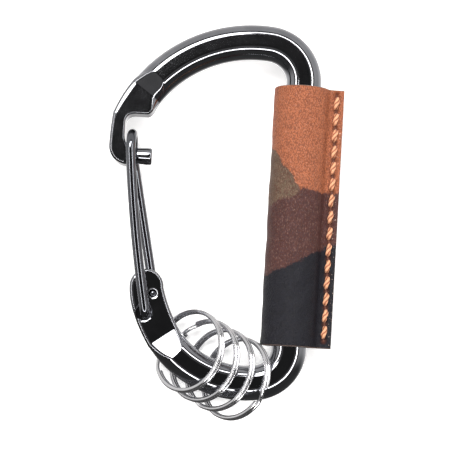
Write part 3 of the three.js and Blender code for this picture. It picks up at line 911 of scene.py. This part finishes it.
def build_thread(name, side):
    """One thread of the seam: a tube of three twisted strands. Its line arches over each stitch and dips
    into the leather at each hole; across, it leans a little from hole to hole."""
    half = sizes().thread / MM / 2
    face = FLAP_GAP + sizes().leather / MM
    t = np.linspace(0, STITCH_COUNT, STITCH_COUNT * 44 + 1)
    phase = t - np.floor(t)
    arch = stitch_arch(phase)
    height = side * (face - STITCH_DIP + STITCH_CLIMB * arch)
    lean = 0.16 * np.sin(2 * np.pi * phase) * side
    line = np.stack([SEAM_X + lean, FIRST_HOLE_Y - t * STITCH_PITCH, height], 1)
    line = evenly(line, STITCH_COUNT * 60)
    reach = (FIRST_HOLE_Y - line[:, 1]) / STITCH_PITCH
    arch = stitch_arch(reach - np.floor(reach))
    line, share = domed(line, half * 0.6, 5)
    arch = np.pad(arch, 5)
    reach = np.pad(reach, 5, mode="edge")
    around = np.linspace(0, 2 * np.pi, 24, endpoint=False)[None, :]
    strand = np.cos(3 * (around - side * 2 * np.pi * reach[:, None] * THREAD_TWIST))
    radius = half * (0.5 + 0.5 * arch[:, None]) * (1 + 0.1 * strand) * share[:, None]
    section = np.stack([radius * np.cos(around), 0.8 * radius * np.sin(around)], -1)
    tangent = np.gradient(line, axis=0)
    tangent /= np.linalg.norm(tangent, axis=1, keepdims=True)
    across = np.tile((1.0, 0.0, 0.0), (len(line), 1))
    across = across - (across * tangent).sum(1, keepdims=True) * tangent
    across /= np.linalg.norm(across, axis=1, keepdims=True)
    up = np.cross(tangent, across)
    points = line[:, None] + section[..., :1] * across[:, None] + section[..., 1:] * up[:, None]
    marks = {
        # painted shade between the strands: low where the strands meet, 1 on their crowns
        "crown": smoothstep(strand, -0.9, 0.3) + 0 * radius,
        # painted shade where the thread dips into its holes
        "hole_shade": smoothstep(0.55 - arch, 0, 0.4)[:, None] + 0 * radius,
    }
    return surface(name, place(points), marks, sharp=70)


def build_ring(name, centre, lean, spin):
    """A split ring: a flat wire with rounded edges wound level through two turns, with a short smooth
    step between them, and both ends cut square. It is spun in its own plane, leaned and headed."""
    size = sizes()
    width, high = size.ring_wire_width / MM, size.ring_wire_height / MM
    radius = (size.ring_diameter / MM - width) / 2
    angle = np.radians(np.linspace(RING_END_TURN, 720 - RING_END_TURN, 361))
    jog = smoothstep(np.degrees(angle), 360 - RING_END_TURN, 360 + RING_END_TURN)
    line = np.stack([radius * np.cos(angle), radius * np.sin(angle), RING_PITCH * (jog - 0.5)], 1)
    around = np.linspace(0, 2 * np.pi, 28, endpoint=False)
    c, s = np.cos(around), np.sin(around)
    section = np.stack(
        [
            width / 2 * np.sign(c) * np.abs(c) ** (2 / 2.15),
            high / 2 * np.sign(s) * np.abs(s) ** (2 / 2.15),
        ],
        1,
    )
    rows = swept(line, np.stack([np.cos(angle), np.sin(angle), 0 * angle], 1), section)
    caps = []
    for row, towards in ((rows[0], rows[1]), (rows[-1], rows[-2])):
        middle = row.mean(0)
        away = (row - towards).mean(0)
        away /= np.linalg.norm(away)
        steps = ((0.93, 0.07), (0.8, 0.11), (0, 0.11))
        caps.append([middle + (row - middle) * share + away * out for share, out in steps])
    points = np.concatenate([np.array(caps[0])[::-1], rows, np.array(caps[1])])
    turned_matrix = (
        Matrix.Rotation(math.radians(RING_HEADING), 3, "Z")
        @ Matrix.Rotation(math.radians(-lean), 3, "Y")
        @ Matrix.Rotation(math.radians(spin), 3, "Z")
    )
    world = points @ np.array(turned_matrix).T * MM + np.array(centre)
    return surface(name, world, sharp=40)


# ---- operators -------------------------------------------------------------------------------------


class KEYRING_OT_body(bpy.types.Operator):
    """Build the forged body with its hook, catch and lug"""

    bl_idname = "keyring.body"
    bl_label = "Body"

    def execute(self, context):
        metal = plated_metal("black nickel", colours().gunmetal, 0.03, 0.000012)
        finished(build_body(), metal, "frame", "gunmetal", "carabiner_body")
        return {"FINISHED"}


class KEYRING_OT_gate(bpy.types.Operator):
    """Build the wire gate"""

    bl_idname = "keyring.gate"
    bl_label = "Gate"

    def execute(self, context):
        metal = plated_metal("gate steel", colours().gate, 0.04, 0.000006)
        finished(build_gate(), metal, "gate", "gate_steel", "gate_wire")
        return {"FINISHED"}


class KEYRING_OT_sleeve(bpy.types.Operator):
    """Build the stitched leather sleeve and its two threads"""

    bl_idname = "keyring.sleeve"
    bl_label = "Sleeve and seam"

    def execute(self, context):
        finished(build_sleeve(), patched_leather(), "sleeve", "leather", "leather_sleeve")
        thread = waxed_thread()
        finished(build_thread("upper_stitches", 1), thread, "sleeve", "thread", "needle_thread")
        finished(build_thread("lower_stitches", -1), thread, "sleeve", "thread", "bobbin_thread")
        return {"FINISHED"}


class KEYRING_OT_rings(bpy.types.Operator):
    """Build the four split rings, each round its own swinging joint"""

    bl_idname = "keyring.rings"
    bl_label = "Split rings"

    def execute(self, context):
        joints = {joint["name"]: joint for joint in frame["joints"]}
        metal = plated_metal("bright nickel", colours().nickel, 0.11, 0.0)
        for i, (lean, spin) in enumerate(RING_STANDS, 1):
            centre = joints[f"ring_{i}_flop"]["pos_m"]
            ring = build_ring(f"ring_{i}", centre, lean, spin)
            finished(ring, metal, f"ring_{i}", "nickel", f"split_ring_{i}")
        return {"FINISHED"}


class KEYRING_OT_stage(bpy.types.Operator):
    """Lay the pale floor, light it like a studio and set the camera"""

    bl_idname = "keyring.stage"
    bl_label = "Stage"

    def execute(self, context):
        lay_floor()
        light_room()
        set_camera()
        return {"FINISHED"}


def lay_floor():
    """A wide, very slightly dished disc whose lowest point is the table under the object."""
    angle = np.linspace(0, 2 * np.pi, 96, endpoint=False)[None, :]
    reach = np.linspace(0, 1, 40)[:, None] ** 2 * 4
    points = np.stack([reach * np.cos(angle), reach * np.sin(angle), 0.0005 * reach**2 + 0 * angle], -1)
    points[..., 2] += CAD_BOX[0].z - 0.00002
    floor = surface("floor", points)
    if floor.data.polygons[0].normal.z < 0:
        floor.data.flip_normals()
    n = Nodes("table top")
    grain = n.noise(n.place(), 900, 3)
    tone = colours().floor
    n.link(n.mix(grain, opaque([c * 0.985 for c in tone[:3]]), opaque(tone)), n.shader.inputs["Base Color"])
    n.shader.inputs["Roughness"].default_value = 0.6
    n.shader.inputs["Specular IOR Level"].default_value = 0.1
    n.shader.inputs["Emission Color"].default_value = (1.0, 1.0, 1.0, 1.0)
    n.shader.inputs["Emission Strength"].default_value = 0.45
    floor.data.materials.append(n.material)
    floor.visible_glossy = False


def light_room():
    """A studio tent by direction alone, in degrees from overhead: dark overhead, a grey lamp shade round
    that, a narrow bright ring, a dark gap and a pale horizon that is dark towards -Y. One white flag
    stands where the lug's ramp shows it."""
    world = bpy.context.scene.world or bpy.data.worlds.new("studio")
    bpy.context.scene.world = world
    world.use_nodes = True
    tree = world.node_tree
    tree.nodes.clear()
    add = tree.nodes.new
    output, background = add("ShaderNodeOutputWorld"), add("ShaderNodeBackground")
    coordinate, split = add("ShaderNodeTexCoord"), add("ShaderNodeSeparateXYZ")
    dot, flag = add("ShaderNodeVectorMath"), add("ShaderNodeVectorMath")
    dot.operation = "DOT_PRODUCT"
    lean = math.radians(3)
    dot.inputs[1].default_value = (0, math.sin(lean), math.cos(lean))
    tree.links.new(coordinate.outputs["Generated"], dot.inputs[0])
    tree.links.new(coordinate.outputs["Generated"], split.inputs[0])

    def maths(operation, a, b=0.0):
        node = add("ShaderNodeMath")
        node.operation = operation
        for value, socket in ((a, node.inputs[0]), (b, node.inputs[1])):
            if isinstance(value, bpy.types.NodeSocket):
                tree.links.new(value, socket)
            else:
                socket.default_value = value
        return node.outputs[0]

    def band(value, low, high, to_low=0.0, to_high=1.0):
        node = add("ShaderNodeMapRange")
        node.interpolation_type = "SMOOTHSTEP"
        tree.links.new(value, node.inputs[0])
        for number, socket in zip((low, high, to_low, to_high), node.inputs[1:5]):
            socket.default_value = number
        return node.outputs[0]

    polar = maths("MULTIPLY", maths("ARCCOSINE", dot.outputs["Value"]), 180 / math.pi)
    shade = maths("MULTIPLY", band(polar, 14, 19), band(polar, 26, 30, 1, 0))
    ring = maths("MULTIPLY", band(polar, 34, 35.5), band(polar, 40, 41.5, 1, 0))
    horizon = maths("ADD", band(polar, 46, 56, 0, 0.8), band(polar, 85, 125, 0, 0.35))
    dim = band(split.outputs["Y"], -0.4, 0.1, 0.06, 1.0)
    flag.operation = "DOT_PRODUCT"
    flag.inputs[1].default_value = (-0.228, 0.406, 0.885)
    tree.links.new(coordinate.outputs["Generated"], flag.inputs[0])
    total = maths("ADD", 0.035, maths("MULTIPLY", shade, 0.17))
    total = maths("ADD", total, maths("MULTIPLY", ring, 11.0))
    total = maths("ADD", total, band(flag.outputs["Value"], 0.972, 0.98, 0, 12))
    total = maths("ADD", total, maths("MULTIPLY", horizon, dim))
    tree.links.new(total, background.inputs["Strength"])
    background.inputs["Color"].default_value = (1.0, 0.985, 0.97, 1.0)
    tree.links.new(background.outputs[0], output.inputs[0])
    bpy.context.scene.view_settings.view_transform = "Standard"


def set_camera():
    """Nearly straight above, leaning a little towards -Y and turned a little, with a long lens."""
    data = bpy.data.cameras.new("camera")
    camera = bpy.data.objects.new("camera", data)
    bpy.context.scene.collection.objects.link(camera)
    bpy.context.scene.camera = camera
    data.sensor_width = 36
    data.lens = data.sensor_width * CAMERA_DISTANCE / CAMERA_FIELD
    data.clip_start, data.clip_end = 0.01, 20
    turn = Matrix.Rotation(math.radians(CAMERA_TURN), 4, "Z")
    lean = Matrix.Rotation(math.radians(CAMERA_LEAN), 4, "X")
    middle = (CAD_BOX[0] + CAD_BOX[1]) / 2
    target = Matrix.Translation((middle.x + CAMERA_AIM[0], middle.y + CAMERA_AIM[1], ORIGIN.z))
    camera.matrix_world = target @ turn @ lean @ Matrix.Translation((0, 0, CAMERA_DISTANCE))


class KEYRING_PT_panel(bpy.types.Panel):
    """Lists the keyring's pieces, sizes and colours"""

    bl_idname = "KEYRING_PT_panel"
    bl_label = "Keyring"
    bl_space_type = "VIEW_3D"
    bl_region_type = "UI"
    bl_category = "Keyring"

    def draw(self, context):
        for group in (context.scene.keyring_sizes, context.scene.keyring_colours):
            box = self.layout.box()
            for name in group.__annotations__:
                box.prop(group, name)
        for operator in OPERATORS:
            self.layout.operator(operator.bl_idname)


OPERATORS = (KEYRING_OT_body, KEYRING_OT_gate, KEYRING_OT_sleeve, KEYRING_OT_rings, KEYRING_OT_stage)
CLASSES = (KeyringSizes, KeyringColours, *OPERATORS, KEYRING_PT_panel)


def register():
    for cls in CLASSES:
        bpy.utils.register_class(cls)
    bpy.types.Scene.keyring_sizes = PointerProperty(type=KeyringSizes)
    bpy.types.Scene.keyring_colours = PointerProperty(type=KeyringColours)


def unregister():
    del bpy.types.Scene.keyring_colours
    del bpy.types.Scene.keyring_sizes
    for cls in reversed(CLASSES):
        bpy.utils.unregister_class(cls)


def main():
    register()
    bpy.ops.keyring.body()
    bpy.ops.keyring.gate()
    bpy.ops.keyring.sleeve()
    bpy.ops.keyring.rings()
    bpy.ops.keyring.stage()


if __name__ == "__main__":
    main()
